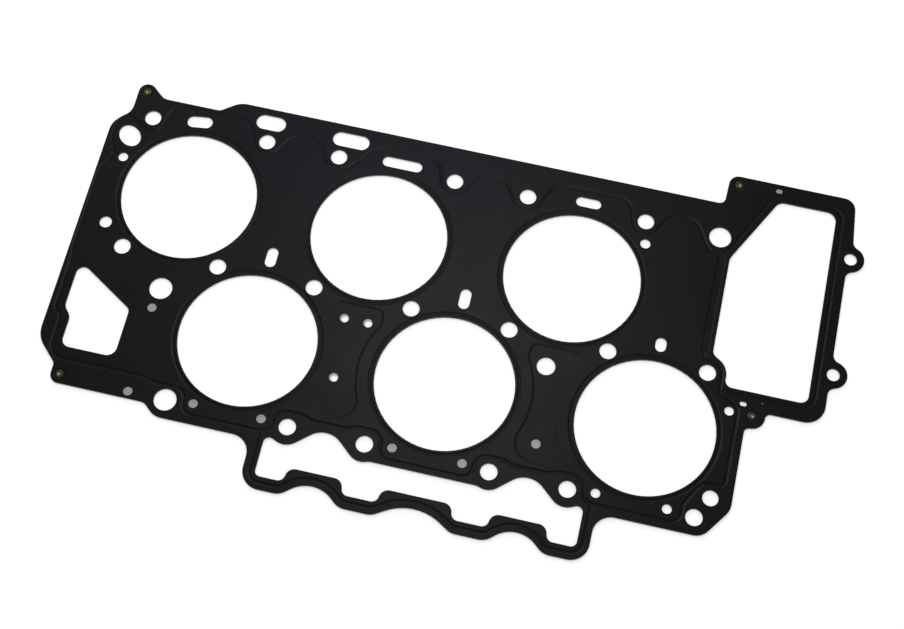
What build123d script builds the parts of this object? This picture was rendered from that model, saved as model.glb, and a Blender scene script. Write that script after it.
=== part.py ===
from build123d import *
from math import cos, radians, sin, tan
import os

# Cylinder head gasket for a narrow-angle V6, built as a three-layer steel stack:
# two beaded spring-steel sheets, a bare carrier sheet between them, a stopper
# ring round each bore, and four rivets that hold the stack together.
# Millimetres. X runs along the crankshaft towards the chain case, Y across the
# engine and Z up. The origin is the axis of cylinder 1 in the block's face.

# ---------------------------------------------------------------- dimensions

# Cylinders: 1, 3 and 5 stand on the upper row (Y = 0), 2, 4 and 6 on the lower.
BORE_PITCH = 65.0          # from one cylinder to the next along X
ROW_GAP = 89.8             # between the rows
BORE_D = 90.2              # bore openings

# Head bolts: outer bolts beside each cylinder, and one middle row.
BOLT_D = 11.0
BOLT_DX = 40.0             # outer bolts, each side of their cylinder
BOLT_DY = 50.8             # outer bolts, from their cylinder row
DOWEL_D = 14.6             # two bolt places carry a dowel sleeve instead

# Stack
SHEET_T = 0.25             # beaded sheets
CARRIER_T = 0.5
BEAD_H = 0.2               # depth of beads and lands
STOPPER_T = 0.12
STOPPER_W = 1.1

# Beads, as grooves in the outer faces
BORE_BEAD_GAP = 1.3        # bore edge to its bead
BORE_BEAD_W = 2.8
LINE_BEAD_W = 3.0
FRAME_BEAD_W = 2.8
BEAD_CREST = 0.4           # level part of a bead, between its sloping sides
POCKET_FLANK = 1.5         # sloping rims of the pressed areas
LAND_FLANK = 1.0
RIVET_FLANK = 0.6
MERGE = 0.05               # how far its tools reach past the faces they join or cut
SEAL_R = 7.9               # line bead's centre line, from a bolt's centre
LAND_W = 5.8               # wide land beside the chain case window

# Oil pockets between the cylinders of the lower row
WAIST_W = 18.4             # between the two bores
POCKET_R = 13.9            # foot
POCKET_W = 33.9            # head
POCKET_TOP = 49.5          # head, below the upper row
POCKET_FOOT = 25.7         # foot's centre, below the lower row

# Rivets, closed, with a dimple in each upper head
RIVET_D = 3.4
RIVET_HEAD_D = 4.9
RIVET_LAND_D = 8.0
DIMPLE_D = 3.0
DIMPLE_FLOOR_D = 1.2
DIMPLE_DEPTH = 0.5

# Windows pierced only in the beaded sheets, which bare the carrier
SPOT_D = 6.0
COIN_D = 3.4               # pressed mark in the carrier
COIN_DEPTH = 0.2
METER_D = 4.7              # oil holes of the carrier inside spots

# Outer edge
LEFT_EDGE = 66.4           # cylinder 1 to the left edge
TAB_EDGE = 55.4            # cylinder 1 to the edge of the rivet's tab
TOP_EDGE = 75.45           # upper row to the top edge
SHOULDER = 66.5            # upper row to the edge at the front
RIGHT_EDGE = 61.4          # cylinder 6 to the right edge
FOOT_DROP = 4.6            # lower bolts to the edge at the front foot
LOW_DROP = 12.1            # lower bolts to the edge under cylinders 2 and 6
STRIP_DROP = 43.5          # lower bolts to the edge of the strip below
LEG_EDGE = 20.3            # that frame's legs, outside its first and last bolt
CASE_EDGE = 109.65         # cylinder 6 to the chain case frame's edge
CASE_TOP = 97.8            # upper row to that frame's edge
CASE_LOW = 63.8
EAR_R = 9.0                # ears on that frame
EAR_NECK_R = 5.5
EAR_OUT = 1.75             # ears' holes, past that frame's edge
EAR_HOLE_D = 8.4
EAR_YS = (54.4, -28.2)

# Windows
CASE_LEG = 11.45           # chain case frame: outer leg
CASE_STRIP = 12.6          # top strip
CASE_SILL = 12.15          # bottom strip
CASE_WEB = 33.6            # cylinder 6 to the window
CASE_EYE_R = 12.0          # metal left round the bolt beside it
LOW_LEG = 8.0              # lower window: legs
LOW_STRIP = 8.4            # strip under it
LOW_EYE_R = 11.5           # metal left round the bolts above it
LOW_SILL = 10.3            # lower bolts to the sill between them
TOOTH_H = 9.5              # rise of its edge under a cylinder
FRONT_STRIP = 10.0         # front window: strip on its left
FRONT_JOG = 5.5
FRONT_SILL = 20.2          # lower bolts to its foot

# ------------------------------------------------------- places that follow

X1, X2, X3, X4, X5, X6 = (BORE_PITCH * n for n in range(6))
LOWER = -ROW_GAP
CYLINDERS = [(X1, 0), (X3, 0), (X5, 0), (X2, LOWER), (X4, LOWER), (X6, LOWER)]
TOP_Y = BOLT_DY
MID_Y = -ROW_GAP / 2
LOW_Y = LOWER - BOLT_DY
FRONT_DOWEL = (X2 - BOLT_DX, LOW_Y)
REAR_DOWEL = (X6 + 25, TOP_Y)
TOP_BOLTS = [(x + side * BOLT_DX, TOP_Y) for x in (X1, X3, X5) for side in (-1, 1)]
MID_BOLTS = [(x - BORE_PITCH / 2, MID_Y) for x in (X1, X2, X3, X4, X5, X6, X6 + BORE_PITCH)]
B105, B155, B235, B285, B365 = (
    (X2 + BOLT_DX, LOW_Y), (X4 - BOLT_DX, LOW_Y), (X4 + BOLT_DX, LOW_Y),
    (X6 - BOLT_DX, LOW_Y), (X6 + BOLT_DX, LOW_Y),
)
BOLTS = TOP_BOLTS + MID_BOLTS + [B105, B155, B235, B285, B365]
CASE_BOLT = MID_BOLTS[-1]

# The stack's levels: the beads' crests rest on the carrier.
CARRIER_Z = SHEET_T + BEAD_H
STACK_T = 2 * CARRIER_Z + CARRIER_T

LEFT_X = X1 - LEFT_EDGE
RIGHT_X = X6 + RIGHT_EDGE
CASE_X = X6 + CASE_EDGE
FOOT_Y = LOW_Y - FOOT_DROP
EDGE_Y = LOW_Y - LOW_DROP
STRIP_Y = LOW_Y - STRIP_DROP
FRONT_LEG_X = B105[0] - LEG_EDGE
REAR_LEG_X = B285[0] + LEG_EDGE
EARS = [(CASE_X + EAR_OUT, y) for y in EAR_YS]
SLOT_Y = BORE_D / 2 + 10

RIVETS = {
    "front_upper_rivet": (X1 - TAB_EDGE + 6, TOP_Y + 18.6),
    "front_lower_rivet": (LEFT_X + 21.1, LOW_Y + 1.7),
    "rear_upper_rivet": (X6 + 31.2, CASE_TOP - 6.3),
    "rear_lower_rivet": (RIGHT_X + 3.1, -CASE_LOW - 3.5),
}

# Coolant and oil passages: centre and diameter, or centre, length, width, turn
ROUND_HOLES = [
    (X1 + 0.65, MID_Y - 23.1, 15.0), (X5 - 4.2, MID_Y - 19.1, 12.0),
    (X6 + 47.9, LOW_Y + 14.4, 10.3), (X5 + 42.5, TOP_Y - 15.9, 6.8),
    (X1 - 51.1, TOP_Y - 32.8, 6.6), (X1 - 48.3, MID_Y + 14.3, 8.2),
    (X6 - 22.4, LOW_Y + 1.5, 6.1), (X6 + 22.7, LOW_Y + 1.5, 6.2),
    (X6 + 50.1, LOWER + 22.5, 6.1),
] + [(x, y, EAR_HOLE_D) for x, y in EARS]
SLOTS = [
    (X1 + 38.9, TOP_Y + 14.4, 20.3, 11.0, 0), (X3 - 35.0, TOP_Y + 13.7, 25.1, 10.6, 0),
    (X3 + 2.8, SLOT_Y + 0.1, 27.1, 7.6, 0), (X5 + 0.3, SLOT_Y + 0.4, 17.0, 7.0, 0),
    (X1 - 8.2, SLOT_Y - 0.1, 17.2, 8.6, 8), (X2, MID_Y + 14.4, 14.0, 7.3, 90),
    (X4, MID_Y + 14.4, 14.2, 7.3, 90), (X6, MID_Y + 12.0, 9.8, 7.2, 90),
    (X6 + 58.1, LOWER + 29.3, 4.6, 3.1, 0),
]
OVAL = (X1 - 51.4, TOP_Y - 16.3)
OVAL_R, OVAL_SHORT_R, OVAL_TURN = 8.65, 6.75, 138

# Spots: marked ones have a coin mark, metering ones an oil hole
MARKED_SPOTS = [
    (X2 - 22.0, LOW_Y + 1.5), (X2 + 22.5, LOW_Y + 1.5), (X4 - 22.5, LOW_Y + 1.5),
    (X4 + 22.5, LOW_Y + 1.5), (X5, LOWER - 26.4),
]
PLAIN_SPOTS = [(X1 + 0.4, LOW_Y + 0.2), (X1 - 1.1, MID_Y - 37.3)]
METER_SPOTS = [(X3 - 4.8, LOWER - 12.1), (X3 - 8.0, MID_Y - 16.2), (X3 + 7.6, MID_Y - 16.2)]
METER_SHIFT = (0.4, -0.4)
TAB_SPOT = (X6 + 58.1, CASE_TOP - 4.8, 4.5, 3.5)
PIN_SPOT = (X6 + 69.9, LOWER + 32.3, 1.1)


# ------------------------------------------------------------------ outlines

def eye(centre, radius, first, last):
    """The corner whose sides touch a circle at two bearings."""
    middle, half = radians(first + last) / 2, radians(last - first) / 2
    reach = radius / cos(half)
    return (centre[0] + reach * cos(middle), centre[1] + reach * sin(middle), radius)


def side_at_x(centre, radius, bearing, x):
    """Where the side that touches a circle at a bearing meets an upright line."""
    turn = radians(bearing)
    return centre[1] + (radius - (x - centre[0]) * cos(turn)) / sin(turn)


def side_at_y(centre, radius, bearing, y):
    """Where the side that touches a circle at a bearing meets a level line."""
    turn = radians(bearing)
    return centre[0] + (radius - (y - centre[1]) * sin(turn)) / cos(turn)


def arch(x, half, slope, foot_r, crown_r, inside=0):
    """A shallow arch in the strip's outer edge under a cylinder, or a line inside it."""
    lean = radians(slope)
    half += inside * tan(lean / 2)
    foot = STRIP_Y + inside
    return [
        (x - half, foot, foot_r - inside), (x, foot + half * tan(lean), crown_r + inside),
        (x + half, foot, foot_r - inside),
    ]


def tooth(x, foot, head):
    """The raised step in the lower window's edge, over an arch."""
    low = STRIP_Y + LOW_STRIP
    high = low + TOOTH_H
    return [(x - foot, low, 4.5), (x - head, high, 6), (x + head, high, 6), (x + foot, low, 4.5)]


def between(left, right, slope, crown_r):
    """The crown of the arch that joins the metal round two bolts."""
    x = (left[0] + right[0]) / 2
    turn = 90 - slope
    return (x, side_at_x(left, LOW_EYE_R, -turn, x), crown_r)


def rounded_line(corners, close=True):
    """A line through rounded corners; each fillet is limited by its two sides."""
    count = len(corners)
    spots = [Vector(x, y) for x, y, radius in corners]
    sides = [spots[(i + 1) % count] - spots[i] for i in range(count)]
    turns = [sides[i - 1].get_angle(sides[i]) for i in range(count)]
    reach = [corners[i][2] * tan(radians(turns[i]) / 2) for i in range(count)]
    fit = []
    for i in range(count):
        needed = reach[i] + reach[(i + 1) % count]
        fit.append(min(1.0, 0.98 * sides[i].length / needed) if needed > 0 else 1.0)
    radii = [corners[i][2] * min(fit[i - 1], fit[i]) for i in range(count)]
    with BuildLine() as edge:
        FilletPolyline(*spots, radius=radii if close else radii[1:-1], close=close)
    return edge.wires()[0]


def fill(corners, mode=Mode.ADD):
    make_face(rounded_line(corners).edges(), mode=mode)


# Arches of the strip under the lower window: half width, slope, foot and crown radius
ARCHES = [(18.6, 41, 11.6, 20.3), (25.0, 32, 11, 33), (18.0, 42, 11.6, 19)]

OUTER = [
    (X1 - TAB_EDGE, TOP_Y + 1.8, 11), (LEFT_X, TOP_Y - 9.2, 13.5), (LEFT_X, LOW_Y + 23.2, 17.5),
    (LEFT_X + 15.4, LOW_Y + 7.8, 4), (LEFT_X + 15.4, FOOT_Y, 6),
    (FRONT_DOWEL[0] - 12.7, FOOT_Y, 6), (FRONT_DOWEL[0] - 4.1, EDGE_Y, 12),
    (FRONT_LEG_X, EDGE_Y, 12), (FRONT_LEG_X, STRIP_Y, 12.5),
    *arch(X3, *ARCHES[0]), *arch(X4, *ARCHES[1]), *arch(X5, *ARCHES[2]),
    (REAR_LEG_X, STRIP_Y, 12.2), (REAR_LEG_X, EDGE_Y + 1, 12), (B365[0] + 6.8, EDGE_Y + 1, 11),
    (RIGHT_X, LOW_Y + 9.4, 11.8), (RIGHT_X, -CASE_LOW - 12.4, 3.5),
    (RIGHT_X + 11.3, -CASE_LOW - 10.6, 8), (RIGHT_X + 12.0, -CASE_LOW, 3.5),
    (CASE_X, -CASE_LOW, 12.7), (CASE_X, EARS[0][1], 0), (CASE_X + 2.95, EARS[0][1], 0),
    (CASE_X - 0.55, CASE_TOP, 8), (X6 + 24.7, CASE_TOP, 6.5), (X6 + 23.8, TOP_EDGE, 4.3),
    (X1 + 14.9, TOP_EDGE, 15), (X1 + 2.6, SHOULDER, 6), (X1 - 36.9, SHOULDER, 7),
    (X1 - TAB_EDGE, TOP_Y + 31.1, 6.07),
]

CASE_LEFT, CASE_RIGHT = X6 + CASE_WEB, CASE_X - CASE_LEG
CASE_HIGH, CASE_FLOOR = CASE_TOP - CASE_STRIP, -CASE_LOW + CASE_SILL
CASE_WINDOW = [
    (CASE_RIGHT - 38.75, CASE_HIGH, 6.3), (CASE_LEFT, TOP_Y - 13.5, 9.5),
    (CASE_LEFT, side_at_x(CASE_BOLT, CASE_EYE_R, 60, CASE_LEFT), 5),
    eye(CASE_BOLT, CASE_EYE_R, 60, 0), (CASE_BOLT[0] + CASE_EYE_R, CASE_FLOOR, 4.8),
    (CASE_RIGHT, CASE_FLOOR, 5.7), (CASE_RIGHT, CASE_HIGH, 6.3),
]

FRONT_X = LEFT_X + FRONT_STRIP
FRONT_WINDOW = [
    (FRONT_X, MID_Y - 15.9, 4.9), (FRONT_X, LOW_Y + 46.7, 7.8),
    (FRONT_X + FRONT_JOG, LOW_Y + 41.2, 7.8), (FRONT_X + FRONT_JOG, LOW_Y + FRONT_SILL, 5.7),
    (FRONT_X + 41.5, LOW_Y + FRONT_SILL, 6.4), (FRONT_X + 41.5, LOW_Y + 53.9, 4.6),
]

LOW_LEFT, LOW_RIGHT = FRONT_LEG_X + LOW_LEG, REAR_LEG_X - LOW_LEG
SILL_Y = LOW_Y - LOW_SILL
LOW_WINDOW = [
    (LOW_LEFT, STRIP_Y + LOW_STRIP, 3.75), *tooth(X3, 19.0, 17.2), *tooth(X4, 23.9, 22.1),
    *tooth(X5, 19.0, 17.2), (LOW_RIGHT, STRIP_Y + LOW_STRIP, 3.75),
    (LOW_RIGHT, side_at_x(B285, LOW_EYE_R, -65, LOW_RIGHT), 3.7),
    eye(B285, LOW_EYE_R, -65, -131), between(B235, B285, 41, 14.5),
    eye(B235, LOW_EYE_R, -49, -110), (side_at_y(B235, LOW_EYE_R, -110, SILL_Y), SILL_Y, 10),
    (side_at_y(B155, LOW_EYE_R, -70, SILL_Y), SILL_Y, 10), eye(B155, LOW_EYE_R, -70, -131),
    between(B105, B155, 41, 14.5), eye(B105, LOW_EYE_R, -49, -115),
    (LOW_LEFT, side_at_x(B105, LOW_EYE_R, -115, LOW_LEFT), 3.7),
]

# ------------------------------------------------------------------ the beads

UNDER = TOP_Y - SEAL_R                # line bead under the upper bolts
CREST = TOP_Y + 8.4                   # between them
HIGH = TOP_Y + 13.6                   # between them, beyond the slots
OVER = LOW_Y + SEAL_R + 1.7           # over the lower bolts
DIP = LOW_Y + 7.2                     # between two bolts of a pair
BASE = LOW_Y - 6.6                    # along the lower edge
EDGE_X = LEFT_X + 2.5
CASE_LINE_X = CASE_LEFT - 5.4
RIGHT_LINE_X = RIGHT_X - 6.0
FRONT_LINE = 5.9                      # line bead outside the front window
FRONT_BASE = LOW_Y + 11.8             # and below it


def rise(bolt, run, top, top_r):
    """Up from under a bolt to the level beyond it; run is signed along X."""
    step = 7 if run > 0 else -7
    return [(bolt[0] + step, UNDER, 7.5), (bolt[0] + run, top, top_r)]


def fall(bolt, run, top, top_r):
    """Down to the way under a bolt."""
    return rise(bolt, run, top, top_r)[::-1]


T_40, T40, T90, T170, T220, T300 = TOP_BOLTS
LINE = [
    (EDGE_X, TOP_Y - 45, 12), (EDGE_X + 6.0, TOP_Y - 30.8, 4), (EDGE_X + 1.0, TOP_Y - 21, 5),
    (EDGE_X + 1.0, TOP_Y - 7.3, 7), (T_40[0] - 16, TOP_Y - 0.6, 5), (T_40[0] - 0.5, TOP_Y - 11.3, 8),
    (T_40[0] + 7.8, TOP_Y - 7.3, 6), (T_40[0] + 11, HIGH - 1, 10),
    *fall(T40, -13.5, HIGH - 1, 12), *rise(T40, 15.5, CREST, 11), *fall(T90, -14.5, CREST, 11),
    *rise(T90, 24, HIGH, 14), *fall(T170, -13, HIGH, 11), *rise(T170, 15.5, CREST, 11),
    *fall(T220, -15.5, CREST, 11), *rise(T220, 16.5, HIGH, 11), *fall(T300, -12.5, HIGH, 11),
    *rise(T300, 15, CREST, 11), (REAR_DOWEL[0] - 17, CREST, 11),
    (REAR_DOWEL[0] - 5.5, TOP_Y - SEAL_R - 3.9, 6), (CASE_LINE_X, TOP_Y - SEAL_R - 3.9, 3),
    (CASE_LINE_X, CASE_BOLT[1] + 8.6, 3.5), eye(CASE_BOLT, 8.7, 90, -4),
    (CASE_BOLT[0] + 9.8, CASE_BOLT[1] - 12.9, 3), (CASE_BOLT[0] + 17, CASE_BOLT[1] - 14.7, 4),
    (RIGHT_LINE_X + 0.2, LOWER + 24.8, 3.5), (RIGHT_LINE_X, LOW_Y + 23.2, 4),
    (B365[0] + 1.5, LOW_Y + 23.2, 8), (B365[0] - 8, LOW_Y + 7.0, 8), (B365[0] - 8, BASE + 0.6, 7),
    (B285[0] + 10.1, BASE + 0.6, 7), (B285[0] + 10.1, OVER, 8), (B285[0] - 7, OVER, 9),
    (B285[0] - 14, DIP, 12), (B235[0] + 14, DIP, 12), (B235[0] + 7, OVER, 9),
    (B235[0] - 10, OVER, 8), (B235[0] - 10, BASE - 0.3, 7), (B155[0] + 10, BASE - 0.3, 7),
    (B155[0] + 10, OVER, 8), (B155[0] - 7, OVER, 9), (B155[0] - 14, DIP, 12),
    (B105[0] + 14, DIP, 12), (B105[0] + 7, OVER, 9), (B105[0] - 10, OVER, 8),
    (B105[0] - 10, BASE + 0.2, 7), (FRONT_DOWEL[0] + 11.6, BASE + 0.2, 7),
    (FRONT_DOWEL[0] + 11.6, OVER, 8), (FRONT_DOWEL[0] - 10.5, OVER, 12),
    (FRONT_DOWEL[0] - 19, FRONT_BASE, 12), (FRONT_X + FRONT_JOG - FRONT_LINE, FRONT_BASE, 10),
    (FRONT_X + FRONT_JOG - FRONT_LINE, LOW_Y + 40.1, 9),
    (FRONT_X - FRONT_LINE, LOW_Y + 44.1, 9), (FRONT_X - FRONT_LINE, MID_Y - 17, 12),
    (EDGE_X, MID_Y - 6, 12),
]

# Beads of the two frames: they leave the line bead and come back to it.
CASE_MID = CASE_HIGH + 3.6
CASE_FRAME = [
    (CASE_LINE_X, TOP_Y - SEAL_R - 3.9, 0), (CASE_LINE_X + 4.5, TOP_Y - 7.0, 7),
    (CASE_LINE_X + 27.5, CASE_MID, 9), (CASE_RIGHT + 4.1, CASE_MID, 9),
    (CASE_RIGHT + 4.1, CASE_FLOOR - 3.6, 9), (CASE_BOLT[0] + 9.8, CASE_FLOOR - 3.6, 0),
]

STRIP_MID = LOW_STRIP / 2
LOW_FRAME = [
    (FRONT_LEG_X + LOW_LEG / 2, BASE + 0.2, 0), (FRONT_LEG_X + LOW_LEG / 2, STRIP_Y + STRIP_MID, 8),
    *arch(X3, *ARCHES[0], STRIP_MID), *arch(X4, *ARCHES[1], STRIP_MID),
    *arch(X5, *ARCHES[2], STRIP_MID), (REAR_LEG_X - LOW_LEG / 2, STRIP_Y + STRIP_MID, 8),
    (REAR_LEG_X - LOW_LEG / 2, BASE + 0.6, 0),
]

# The wide land along the line bead, beside the chain case window
WIDE_LAND_L = TOP_Y - CASE_BOLT[1] - 24
WIDE_LAND_Y = (TOP_Y + CASE_BOLT[1]) / 2 + 0.6


def pocket(left, centre, right):
    """An oil pocket: a broad head, a waist between two bores and a round foot."""
    foot = (centre[0], LOWER - POCKET_FOOT)
    head, half, radius = centre[1], POCKET_W / 2, BORE_PITCH - WAIST_W / 2
    neck = side_at_x(right, radius, 153, centre[0] + half)
    return [
        (centre[0] - half, head, 5.5), (centre[0] + half, head, 5.5), (centre[0] + half, neck, 6),
        eye(right, radius, 153, 201.6), eye(foot, POCKET_R, 21.6, -90),
        eye(foot, POCKET_R, -90, -201.6), eye(left, radius, -21.6, 27),
        (centre[0] - half, neck, 6),
    ]


POCKETS = [
    pocket((X2, LOWER), (X3, -POCKET_TOP), (X4, LOWER)),
    pocket((X4, LOWER), (X5, -POCKET_TOP), (X6, LOWER)),
]


# ------------------------------------------------------------- shared features

def blank(level, thickness):
    """A flat sheet with the outline and windows that every layer shares."""
    with BuildSketch(Plane.XY.offset(level)) as flat:
        fill(OUTER)
        with Locations(*EARS):
            Circle(EAR_R)
        necks = [
            v for v in flat.vertices()
            if any(abs((Vector(x, y) - Vector(v.X, v.Y)).length - EAR_R) < 0.01 for x, y in EARS)
        ]
        fillet(necks, EAR_NECK_R)
        fill(CASE_WINDOW, Mode.SUBTRACT)
        fill(FRONT_WINDOW, Mode.SUBTRACT)
        fill(LOW_WINDOW, Mode.SUBTRACT)
    extrude(flat.sketch, amount=thickness)


def holes(coated):
    """Every hole that goes right through a sheet; coated sheets have spots too."""
    with BuildSketch(Plane.XY.offset(-STACK_T)) as cut:
        with Locations(*CYLINDERS):
            Circle(BORE_D / 2)
        with Locations(*BOLTS):
            Circle(BOLT_D / 2)
        with Locations(FRONT_DOWEL, REAR_DOWEL):
            Circle(DOWEL_D / 2)
        with Locations(*RIVETS.values()):
            Circle(RIVET_D / 2)
        for x, y, diameter in ROUND_HOLES:
            with Locations((x, y)):
                Circle(diameter / 2)
        for x, y, length, width, turn in SLOTS:
            with Locations((x, y)):
                SlotOverall(length, width, rotation=turn)
        with Locations(OVAL):
            Ellipse(OVAL_R, OVAL_SHORT_R, rotation=OVAL_TURN)
        if coated:
            with Locations(*MARKED_SPOTS, *PLAIN_SPOTS, *METER_SPOTS):
                Circle(SPOT_D / 2)
            with Locations(TAB_SPOT[:2]):
                SlotOverall(*TAB_SPOT[2:])
            with Locations(PIN_SPOT[:2]):
                Circle(PIN_SPOT[2] / 2)
        else:
            with Locations(*[(x + METER_SHIFT[0], y + METER_SHIFT[1]) for x, y in METER_SPOTS]):
                Circle(METER_D / 2)
    extrude(cut.sketch, amount=3 * STACK_T, mode=Mode.SUBTRACT)


def level_of(depth):
    """Height of a depth under the upper sheet's outer face."""
    return STACK_T - depth


def bead(path, width, mode):
    """A bead swept along a line: its ridge, to add inside, or its groove, to cut outside."""
    start, along = path @ 0, path % 0
    across = Vector(0, 0, 1).cross(along)
    half, level = width / 2, BEAD_CREST / 2
    if mode == Mode.ADD:
        profile = [
            (-half, SHEET_T - MERGE), (-half, SHEET_T), (-level, SHEET_T + BEAD_H),
            (level, SHEET_T + BEAD_H), (half, SHEET_T), (half, SHEET_T - MERGE),
        ]
    else:
        wide = half + (half - level) * MERGE / BEAD_H
        profile = [(-wide, -MERGE), (-level, BEAD_H), (level, BEAD_H), (wide, -MERGE)]
    with BuildSketch(Plane(origin=start, x_dir=across, z_dir=along)) as section:
        with BuildLine():
            Polyline(*[(u, level_of(depth)) for u, depth in profile], close=True)
        make_face()
    return sweep(section.sketch, path=path, mode=Mode.PRIVATE)


def land(shape, flank, mode):
    """A closed area pressed inwards: a bead along its rim, and a level floor inside."""
    rim_w = 2 * flank + BEAD_CREST
    level = level_of(SHEET_T - MERGE if mode == Mode.ADD else -MERGE)
    with BuildSketch() as area:
        shape()
        offset(amount=-rim_w / 2, mode=Mode.REPLACE)
    rims = [bead(face.outer_wire(), rim_w, mode) for face in area.sketch.faces()]
    floor = Plane.XY.offset(level) * area.sketch
    return rims + [extrude(floor, amount=-(BEAD_H + MERGE), mode=Mode.PRIVATE)]


def rivet_lands():
    with Locations(*RIVETS.values()):
        Circle(RIVET_LAND_D / 2)


def wide_land():
    with Locations((CASE_LINE_X, WIDE_LAND_Y)):
        SlotOverall(WIDE_LAND_L, LAND_W, rotation=90)


def pockets():
    for corners in POCKETS:
        fill(corners)


def press():
    """All of the upper sheet's beads and lands."""
    bore_r = BORE_D / 2 + BORE_BEAD_GAP + BORE_BEAD_W / 2
    rings = []
    for centre in CYLINDERS:
        with BuildLine() as ring:
            CenterArc(centre, bore_r, 0, 360)
        rings.append(ring.edges()[0])
    for mode in (Mode.ADD, Mode.SUBTRACT):
        pressed = [bead(ring, BORE_BEAD_W, mode) for ring in rings]
        pressed.append(bead(rounded_line(LINE), LINE_BEAD_W, mode))
        for frame in (CASE_FRAME, LOW_FRAME):
            pressed.append(bead(rounded_line(frame, close=False), FRAME_BEAD_W, mode))
        pressed.extend(land(pockets, POCKET_FLANK, mode))
        pressed.extend(land(wide_land, LAND_FLANK, mode))
        pressed.extend(land(rivet_lands, RIVET_FLANK, mode))
        add(pressed, mode=mode)


# ------------------------------------------------------------------ the pieces

os.makedirs("parts", exist_ok=True)

with BuildPart() as upper_sheet:
    blank(STACK_T - SHEET_T, SHEET_T)
    press()
    holes(coated=True)
upper_sheet.part.label = "upper_sheet"
export_step(upper_sheet.part, "parts/upper_sheet.step")

# The lower sheet is the upper one turned over in the tool.
with BuildPart() as lower_sheet:
    mirror(upper_sheet.part, about=Plane.XY.offset(STACK_T / 2))
lower_sheet.part.label = "lower_sheet"
export_step(lower_sheet.part, "parts/lower_sheet.step")

with BuildPart() as carrier_sheet:
    blank(CARRIER_Z, CARRIER_T)
    holes(coated=False)
    with Locations(*[(x, y, CARRIER_Z + CARRIER_T) for x, y in MARKED_SPOTS]):
        Cylinder(
            COIN_D / 2, COIN_DEPTH, align=(Align.CENTER, Align.CENTER, Align.MAX),
            mode=Mode.SUBTRACT,
        )
carrier_sheet.part.label = "carrier_sheet"
export_step(carrier_sheet.part, "parts/carrier_sheet.step")

for number, centre in zip((1, 3, 5, 2, 4, 6), CYLINDERS):
    with BuildPart() as stopper_ring:
        with BuildSketch(Plane.XY.offset(CARRIER_Z + CARRIER_T)):
            with Locations(centre):
                Circle(BORE_D / 2 + STOPPER_W)
                Circle(BORE_D / 2, mode=Mode.SUBTRACT)
        extrude(amount=STOPPER_T)
    stopper_ring.part.label = f"stopper_ring_{number}"
    export_step(stopper_ring.part, f"parts/stopper_ring_{number}.step")

for name, (x, y) in RIVETS.items():
    with BuildPart() as rivet:
        with BuildSketch(Plane.XY):
            with Locations((x, y)):
                Circle(RIVET_D / 2)
        extrude(amount=STACK_T)
        with BuildSketch(Plane.XY, Plane.XY.offset(STACK_T - BEAD_H)):
            with Locations((x, y)):
                Circle(RIVET_HEAD_D / 2)
        extrude(amount=BEAD_H)
        with Locations((x, y, STACK_T)):
            Cone(
                DIMPLE_FLOOR_D / 2, DIMPLE_D / 2, DIMPLE_DEPTH,
                align=(Align.CENTER, Align.CENTER, Align.MAX), mode=Mode.SUBTRACT,
            )
    rivet.part.label = name
    export_step(rivet.part, f"parts/{name}.step")
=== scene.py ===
import math

import bpy
from bpy.props import FloatProperty, FloatVectorProperty, IntProperty, PointerProperty
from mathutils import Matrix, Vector


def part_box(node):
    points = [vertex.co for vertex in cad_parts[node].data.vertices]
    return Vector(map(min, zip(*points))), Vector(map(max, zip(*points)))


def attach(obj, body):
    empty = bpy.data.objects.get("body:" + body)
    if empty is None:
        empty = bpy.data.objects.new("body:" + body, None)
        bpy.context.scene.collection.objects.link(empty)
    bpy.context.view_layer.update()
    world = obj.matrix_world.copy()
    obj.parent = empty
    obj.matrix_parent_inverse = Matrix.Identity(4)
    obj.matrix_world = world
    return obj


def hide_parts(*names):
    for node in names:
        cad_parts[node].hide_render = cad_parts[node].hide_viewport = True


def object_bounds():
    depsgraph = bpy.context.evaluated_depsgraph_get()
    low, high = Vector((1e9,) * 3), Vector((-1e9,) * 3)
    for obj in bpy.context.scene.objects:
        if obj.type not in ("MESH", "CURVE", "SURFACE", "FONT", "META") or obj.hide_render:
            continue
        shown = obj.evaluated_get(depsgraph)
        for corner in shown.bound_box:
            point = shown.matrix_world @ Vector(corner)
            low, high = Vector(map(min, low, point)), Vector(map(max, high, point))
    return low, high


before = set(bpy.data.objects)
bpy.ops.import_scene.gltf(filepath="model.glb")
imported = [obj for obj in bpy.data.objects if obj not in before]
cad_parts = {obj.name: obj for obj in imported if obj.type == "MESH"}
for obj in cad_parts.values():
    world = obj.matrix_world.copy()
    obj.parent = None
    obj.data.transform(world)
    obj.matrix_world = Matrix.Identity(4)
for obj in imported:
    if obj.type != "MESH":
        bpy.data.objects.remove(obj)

bl_info = {
    "name": "Cylinder Head Gasket Dressing",
    "version": (1, 0, 0),
    "blender": (4, 5, 0),
    "location": "View3D > Sidebar > Gasket",
    "description": "Gives a layered steel head gasket its coating, bare steel, rivets and stage",
    "category": "Object",
}

CAD_BOX = [list(corner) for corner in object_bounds()]
MM = 0.001

# The stack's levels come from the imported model.
STACK_LOW, STACK_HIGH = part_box("lower_sheet")[0].z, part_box("upper_sheet")[1].z
RIVETS = ("front_upper_rivet", "front_lower_rivet", "rear_upper_rivet", "rear_lower_rivet")
COATED = ("upper_sheet", "lower_sheet")
BARE = ("carrier_sheet",) + tuple(f"stopper_ring_{n}" for n in range(1, 7))

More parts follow.
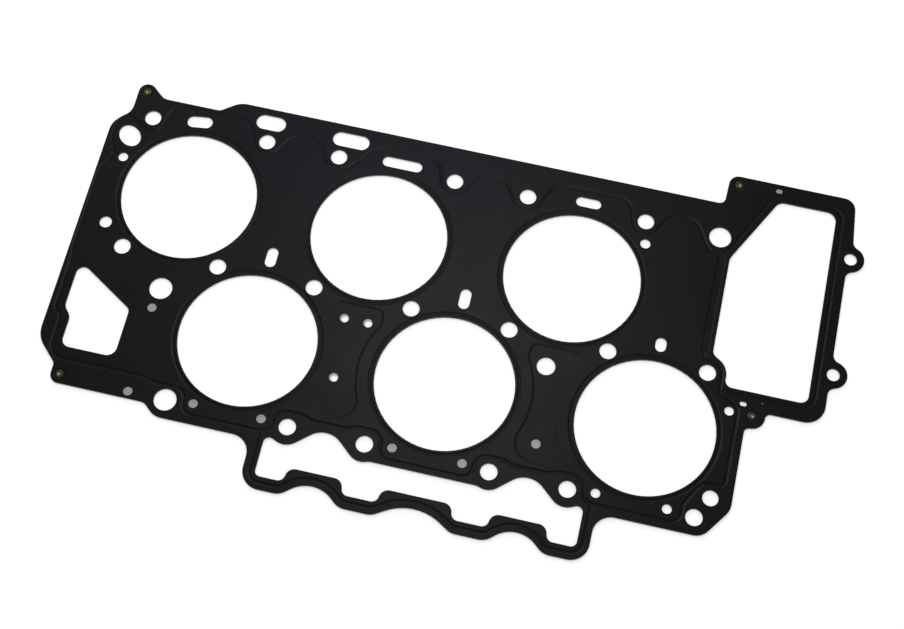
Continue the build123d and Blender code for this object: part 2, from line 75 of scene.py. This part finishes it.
# The stage, in metres and watts: a wide floor just under the part, and soft round lamps.
FLOOR_SIZE = 30.0
FLOOR_GAP = 0.05 * MM
FLOOR_GLOW = 0.35
ROOM_LIGHT = 0.5
WALL_LIGHT = 0.95
WHITE = (1.0, 1.0, 1.0)
LAMP_AIM = (0.19, -0.04, 0)
LAMPS = (
    # name, place, size, power, colour
    ("overhead", (0.1, 0.44, 1.5), 0.3, 4.6, WHITE),
    ("sky", (-0.07, 0.9, 1.5), 0.4, 1.5, (0.25, 0.42, 1.0)),
    ("window", (-0.7, 0.8, 1.3), 0.6, 1.7, (0.88, 0.9, 1.0)),
    ("back", (-0.1, 1.5, 0.7), 0.6, 7.5, WHITE),
)


# ------------------------------------------------------------------ small tools

def linear(code):
    """An sRGB hex colour as the linear values that Blender works in."""
    channels = [int(code[i:i + 2], 16) / 255 for i in (0, 2, 4)]
    return tuple(c / 12.92 if c <= 0.04045 else ((c + 0.055) / 1.055) ** 2.4 for c in channels)


def add_node(tree, kind, links=None, inputs=None, **settings):
    """Add a node: its settings, its sockets' values, and what feeds its sockets."""
    node = tree.nodes.new(kind)
    for name, value in settings.items():
        setattr(node, name, value)
    for name, value in (inputs or {}).items():
        node.inputs[name].default_value = value
    for name, source in (links or {}).items():
        tree.links.new(source, node.inputs[name])
    return node


def ramp(tree, source, stops):
    """A colour ramp between (position, grey or colour) stops."""
    node = add_node(tree, "ShaderNodeValToRGB", {"Fac": source})
    elements = node.color_ramp.elements
    while len(elements) < len(stops):
        elements.new(0.5)
    for element, (position, colour) in zip(elements, stops):
        element.position = position
        rgb = (colour,) * 3 if isinstance(colour, float) else tuple(colour)[:3]
        element.color = (*rgb, 1.0)
    return node.outputs["Color"]


def new_material(name):
    material = bpy.data.materials.new(name)
    material.use_nodes = True
    material.node_tree.nodes.clear()
    return material, material.node_tree


def put(material, *names):
    """Give CAD nodes one material."""
    for name in names:
        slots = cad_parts[name].data.materials
        slots.clear()
        slots.append(material)


def deselect():
    if bpy.context.object and bpy.context.object.mode != "OBJECT":
        bpy.ops.object.mode_set(mode="OBJECT")
    bpy.ops.object.select_all(action="DESELECT")


# ------------------------------------------------------------------- properties

class GASKET_PG_finish(bpy.types.PropertyGroup):
    coating: FloatVectorProperty(
        name="Coating", description="Fluoroelastomer coating on the beaded sheets",
        subtype="COLOR", size=3, min=0, max=1, default=linear("070707"))
    steel: FloatVectorProperty(
        name="Bare steel", description="Rolled stainless strip of the carrier",
        subtype="COLOR", size=3, min=0, max=1, default=linear("989792"))
    brass: FloatVectorProperty(
        name="Brass", description="Rivets", subtype="COLOR", size=3, min=0, max=1,
        default=linear("7D6F53"))
    tarnish: FloatVectorProperty(
        name="Tarnish", description="Dull film on the rivets", subtype="COLOR", size=3,
        min=0, max=1, default=linear("251F16"))
    film: FloatProperty(
        name="Film", description="Share of the brass under its brown film", default=0.75,
        min=0.2, max=0.8)
    grain: FloatProperty(
        name="Coating grain", description="Spacing of the coating's fine texture",
        default=0.9 * MM, min=0.1 * MM, max=5 * MM, unit="LENGTH")


class GASKET_PG_rivet(bpy.types.PropertyGroup):
    segments: IntProperty(
        name="Segments", description="Faces round a rivet", default=48, min=16, max=96)
    shank: FloatProperty(
        name="Shank", description="Radius of the rivet's shank", default=1.7 * MM,
        min=1 * MM, max=3 * MM, unit="LENGTH")
    head: FloatProperty(
        name="Head", description="Depth of the sunk heads", default=0.2 * MM,
        min=0.1 * MM, max=0.5 * MM, unit="LENGTH")


class GASKET_PG_stage(bpy.types.PropertyGroup):
    lens: FloatProperty(
        name="Lens", description="Focal length on a 36 mm sensor, in millimetres",
        default=64.674, min=10, max=300)
    place: FloatVectorProperty(
        name="Camera", description="Where the camera stands", subtype="TRANSLATION",
        unit="LENGTH", size=3, default=(0.262579, -0.420451, 0.980591))
    turn: FloatVectorProperty(
        name="Turn", description="The camera's rotation", subtype="EULER", unit="ROTATION",
        size=3, default=tuple(math.radians(a) for a in (21.4259, -0.7124, 12.8120)))
    floor: FloatVectorProperty(
        name="Floor", description="Colour of the floor", subtype="COLOR", size=3, min=0, max=1,
        default=linear("F2F2F2"))


# -------------------------------------------------------------------- materials

def coated_steel(look):
    """Fluoroelastomer sprayed thinly on spring steel: a satin black skin that is
    nearly even, with a fine orange peel and faint cloudy patches where it is thicker."""
    material, tree = new_material("coated_spring_steel")
    place = add_node(tree, "ShaderNodeTexCoord").outputs["Object"]
    clouds = add_node(tree, "ShaderNodeTexNoise", {"Vector": place},
                      {"Scale": 1 / (34 * MM), "Detail": 3.0, "Roughness": 0.55}).outputs["Fac"]
    peel = add_node(tree, "ShaderNodeTexNoise", {"Vector": place},
                    {"Scale": 1 / look.grain, "Detail": 4.0, "Roughness": 0.6}).outputs["Fac"]
    dark = tuple(c * 0.8 for c in look.coating)
    light = tuple(c * 1.25 for c in look.coating)
    colour = ramp(tree, clouds, [(0.3, dark), (0.7, light)])
    speckle = ramp(tree, peel, [(0.3, 0.86), (0.7, 1.0)])
    mixed = add_node(tree, "ShaderNodeMix", {6: colour, 7: speckle}, {0: 1.0},
                     data_type="RGBA", blend_type="MULTIPLY").outputs[2]
    rough = add_node(tree, "ShaderNodeMapRange", {"Value": clouds},
                     {"From Min": 0.3, "From Max": 0.7, "To Min": 0.35, "To Max": 0.4}
                     ).outputs["Result"]
    # The orange peel is some hundredths of a millimetre deep.
    bump = add_node(tree, "ShaderNodeBump", {"Height": peel},
                    {"Strength": 0.25, "Distance": 0.03 * MM}).outputs["Normal"]
    shader = add_node(tree, "ShaderNodeBsdfPrincipled",
                      {"Base Color": mixed, "Roughness": rough, "Normal": bump},
                      {"IOR": 1.45, "Specular IOR Level": 0.12})
    add_node(tree, "ShaderNodeOutputMaterial", {"Surface": shader.outputs["BSDF"]})
    return material


def rolled_steel(look):
    """Cold-rolled stainless strip: bright, with fine lines along the rolling direction."""
    material, tree = new_material("rolled_stainless_steel")
    place = add_node(tree, "ShaderNodeTexCoord").outputs["Object"]
    stretched = add_node(tree, "ShaderNodeMapping", {"Vector": place},
                         {"Scale": (0.04, 1.0, 1.0)}).outputs["Vector"]
    lines = add_node(tree, "ShaderNodeTexNoise", {"Vector": stretched},
                     {"Scale": 1 / (0.35 * MM), "Detail": 3.0}).outputs["Fac"]
    dark = tuple(c * 0.82 for c in look.steel)
    colour = ramp(tree, lines, [(0.3, dark), (0.7, tuple(look.steel))])
    rough = add_node(tree, "ShaderNodeMapRange", {"Value": lines},
                     {"From Min": 0.3, "From Max": 0.7, "To Min": 0.48, "To Max": 0.58}
                     ).outputs["Result"]
    bump = add_node(tree, "ShaderNodeBump", {"Height": lines},
                    {"Strength": 0.15, "Distance": 0.01 * MM}).outputs["Normal"]
    shader = add_node(tree, "ShaderNodeBsdfPrincipled",
                      {"Base Color": colour, "Roughness": rough, "Normal": bump},
                      {"Metallic": 1.0})
    add_node(tree, "ShaderNodeOutputMaterial", {"Surface": shader.outputs["BSDF"]})
    return material


def dull_brass(look):
    """Upset brass with an uneven brown film from the coating's oven."""
    material, tree = new_material("tarnished_brass")
    place = add_node(tree, "ShaderNodeTexCoord").outputs["Object"]
    patches = add_node(tree, "ShaderNodeTexNoise", {"Vector": place},
                       {"Scale": 1 / (1.1 * MM), "Detail": 4.0}).outputs["Fac"]
    height = add_node(tree, "ShaderNodeSeparateXYZ", {"Vector": place}).outputs["Z"]
    level = add_node(tree, "ShaderNodeMapRange", {"Value": height},
                     {"From Min": STACK_LOW, "From Max": STACK_HIGH}).outputs["Result"]
    # Painted highlight: most of the brown film is taken off the dimple's walls and floor, so their
    # bright bare brass stands in for the highlight that falls there.
    film_cut_by_painted_highlight = ramp(tree, level, [(0.5, 1.0), (0.62, 0.1), (0.74, 0.2), (0.92, 1.0)])
    uneven = add_node(tree, "ShaderNodeMapRange", {"Value": patches},
                      {"From Min": 0.35, "From Max": 0.65, "To Min": look.film - 0.2,
                       "To Max": look.film + 0.2}).outputs["Result"]
    film = add_node(tree, "ShaderNodeMath", {0: film_cut_by_painted_highlight, 1: uneven},
                    operation="MULTIPLY").outputs[0]
    colour = add_node(tree, "ShaderNodeMix", {0: film},
                      {6: (*look.brass, 1), 7: (*look.tarnish, 1)}, data_type="RGBA").outputs[2]
    bump = add_node(tree, "ShaderNodeBump", {"Height": patches},
                    {"Strength": 0.2, "Distance": 0.02 * MM}).outputs["Normal"]
    shader = add_node(tree, "ShaderNodeBsdfPrincipled", {"Base Color": colour, "Normal": bump},
                      {"Metallic": 1.0, "Roughness": 0.24})
    add_node(tree, "ShaderNodeOutputMaterial", {"Surface": shader.outputs["BSDF"]})
    return material


# -------------------------------------------------------------------- operators

class GASKET_OT_sheets(bpy.types.Operator):
    """Coat the two beaded sheets"""
    bl_idname = "gasket.sheets"
    bl_label = "Coat the beaded sheets"

    def execute(self, context):
        put(coated_steel(context.scene.gasket_finish), *COATED)
        return {"FINISHED"}


class GASKET_OT_carrier(bpy.types.Operator):
    """Give the carrier sheet and the stopper rings their bare steel"""
    bl_idname = "gasket.carrier"
    bl_label = "Finish the carrier and rings"

    def execute(self, context):
        put(rolled_steel(context.scene.gasket_finish), *BARE)
        return {"FINISHED"}


class GASKET_OT_rivets(bpy.types.Operator):
    """Model the four closed rivets"""
    bl_idname = "gasket.rivets"
    bl_label = "Model the rivets"

    def rings(self, sizes, radius):
        """Radius and height of each ring, from the plain lower head to the upset upper one,
        whose rim is rolled over and whose middle is punched into a dimple."""
        low, high, deep = STACK_LOW, STACK_HIGH, sizes.head
        return [
            (0.9 * MM, low + 0.05 * MM), (1.9 * MM, low), (radius - 0.15 * MM, low + 0.03 * MM),
            (radius, low + 0.12 * MM), (radius - 0.02 * MM, low + deep),
            (sizes.shank, low + deep), (sizes.shank, high - deep),
            (radius - 0.02 * MM, high - deep), (radius, high - 0.12 * MM),
            (radius - 0.08 * MM, high - 0.04 * MM), (radius - 0.25 * MM, high),
            (1.66 * MM, high), (1.5 * MM, high - 0.05 * MM), (1.33 * MM, high - 0.16 * MM),
            (1.1 * MM, high - 0.3 * MM), (0.85 * MM, high - 0.4 * MM),
            (0.55 * MM, high - 0.47 * MM), (0.25 * MM, high - 0.5 * MM),
        ]

    def execute(self, context):
        sizes = context.scene.gasket_rivet
        brass = dull_brass(context.scene.gasket_finish)
        for name in RIVETS:
            low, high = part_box(name)
            x, y = (low.x + high.x) / 2, (low.y + high.y) / 2
            rings = self.rings(sizes, (high.x - low.x) / 2)
            deselect()
            bpy.ops.mesh.primitive_circle_add(
                vertices=sizes.segments, radius=rings[0][0], location=(x, y, rings[0][1]),
                fill_type="NGON")
            rivet = context.object
            rivet.name = name.replace("rivet", "formed_rivet")
            bpy.ops.object.mode_set(mode="EDIT")
            bpy.ops.mesh.select_all(action="SELECT")
            for (r0, z0), (r1, z1) in zip(rings, rings[1:]):
                bpy.ops.mesh.extrude_region_move(
                    TRANSFORM_OT_translate={"value": (0, 0, z1 - z0)})
                bpy.ops.transform.resize(
                    value=(r1 / r0, r1 / r0, 1), center_override=(x, y, z1))
            bpy.ops.mesh.select_all(action="SELECT")
            bpy.ops.mesh.normals_make_consistent(inside=False)
            bpy.ops.object.mode_set(mode="OBJECT")
            bpy.ops.object.transform_apply(location=True, rotation=True, scale=True)
            bpy.ops.object.shade_smooth_by_angle(angle=math.radians(40))
            rivet.data.materials.append(brass)
            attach(rivet, "root")
            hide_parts(name)
        return {"FINISHED"}


class GASKET_OT_stage(bpy.types.Operator):
    """Set the floor, the soft light and the camera"""
    bl_idname = "gasket.stage"
    bl_label = "Set the stage"

    def floor(self, stage):
        deselect()
        middle = (Vector(CAD_BOX[0]) + Vector(CAD_BOX[1])) / 2
        bpy.ops.mesh.primitive_plane_add(
            size=FLOOR_SIZE, location=(middle.x, middle.y, STACK_LOW - FLOOR_GAP))
        floor = bpy.context.object
        floor.name = "floor"
        bpy.ops.object.transform_apply(location=True, rotation=True, scale=True)
        material, tree = new_material("pale_floor")
        diffuse = add_node(tree, "ShaderNodeBsdfDiffuse", None, {"Color": (*stage.floor, 1)})
        glow = add_node(tree, "ShaderNodeEmission", None,
                        {"Color": (*WHITE, 1), "Strength": FLOOR_GLOW})
        both = add_node(tree, "ShaderNodeAddShader")
        tree.links.new(diffuse.outputs[0], both.inputs[0])
        tree.links.new(glow.outputs[0], both.inputs[1])
        path = add_node(tree, "ShaderNodeLightPath").outputs
        seen = path["Is Camera Ray"]
        for ray in ("Is Glossy Ray", "Is Transmission Ray"):
            seen = add_node(tree, "ShaderNodeMath", {0: seen, 1: path[ray]},
                            operation="MAXIMUM").outputs[0]
        mix = add_node(tree, "ShaderNodeMixShader", {"Fac": seen})
        tree.links.new(diffuse.outputs[0], mix.inputs[1])
        tree.links.new(both.outputs[0], mix.inputs[2])
        add_node(tree, "ShaderNodeOutputMaterial", {"Surface": mix.outputs[0]})
        floor.data.materials.append(material)

    def lamp(self, name, place, size, power, colour):
        deselect()
        bpy.ops.object.light_add(type="AREA", location=place)
        lamp = bpy.context.object
        lamp.name = name
        lamp.data.shape = "DISK"
        lamp.data.size = size
        lamp.data.energy = power
        lamp.data.color = colour
        aim = Vector(LAMP_AIM) - Vector(place)
        lamp.rotation_euler = aim.to_track_quat("-Z", "Y").to_euler()

    def execute(self, context):
        stage = context.scene.gasket_stage
        self.floor(stage)
        for lamp in LAMPS:
            self.lamp(*lamp)
        world = bpy.data.worlds.new("studio")
        world.use_nodes = True
        tree = world.node_tree
        tree.nodes.clear()
        room, wall = (
            add_node(tree, "ShaderNodeBackground", None, {"Color": (*WHITE, 1), "Strength": light})
            for light in (ROOM_LIGHT, WALL_LIGHT))
        seen = add_node(tree, "ShaderNodeLightPath").outputs["Is Camera Ray"]
        both = add_node(tree, "ShaderNodeMixShader", {0: seen, 1: room.outputs[0],
                                                      2: wall.outputs[0]})
        add_node(tree, "ShaderNodeOutputWorld", {"Surface": both.outputs[0]})
        context.scene.world = world
        deselect()
        bpy.ops.object.camera_add(location=stage.place, rotation=stage.turn)
        camera = context.object
        camera.name = "camera"
        camera.data.sensor_width = 36.0
        camera.data.lens = stage.lens
        camera.data.clip_start, camera.data.clip_end = 0.01, 20.0
        context.scene.camera = camera
        context.scene.view_settings.view_transform = "Standard"
        return {"FINISHED"}


class GASKET_PT_panel(bpy.types.Panel):
    """Steps that dress the gasket"""
    bl_idname = "GASKET_PT_panel"
    bl_label = "Head gasket"
    bl_space_type = "VIEW_3D"
    bl_region_type = "UI"
    bl_category = "Gasket"

    def draw(self, context):
        layout = self.layout
        for step in STEPS:
            layout.operator(step.bl_idname)
        for group in (context.scene.gasket_finish, context.scene.gasket_rivet,
                      context.scene.gasket_stage):
            box = layout.box()
            for name in group.bl_rna.properties.keys():
                if name not in ("rna_type", "name"):
                    box.prop(group, name)


STEPS = (GASKET_OT_sheets, GASKET_OT_carrier, GASKET_OT_rivets, GASKET_OT_stage)
GROUPS = (GASKET_PG_finish, GASKET_PG_rivet, GASKET_PG_stage)


def register():
    for cls in (*GROUPS, *STEPS, GASKET_PT_panel):
        bpy.utils.register_class(cls)
    bpy.types.Scene.gasket_finish = PointerProperty(type=GASKET_PG_finish)
    bpy.types.Scene.gasket_rivet = PointerProperty(type=GASKET_PG_rivet)
    bpy.types.Scene.gasket_stage = PointerProperty(type=GASKET_PG_stage)


def unregister():
    del bpy.types.Scene.gasket_stage
    del bpy.types.Scene.gasket_rivet
    del bpy.types.Scene.gasket_finish
    for cls in (GASKET_PT_panel, *reversed(STEPS), *reversed(GROUPS)):
        bpy.utils.unregister_class(cls)


def main():
    register()
    bpy.ops.gasket.sheets()
    bpy.ops.gasket.carrier()
    bpy.ops.gasket.rivets()
    bpy.ops.gasket.stage()


if __name__ == "__main__":
    main()
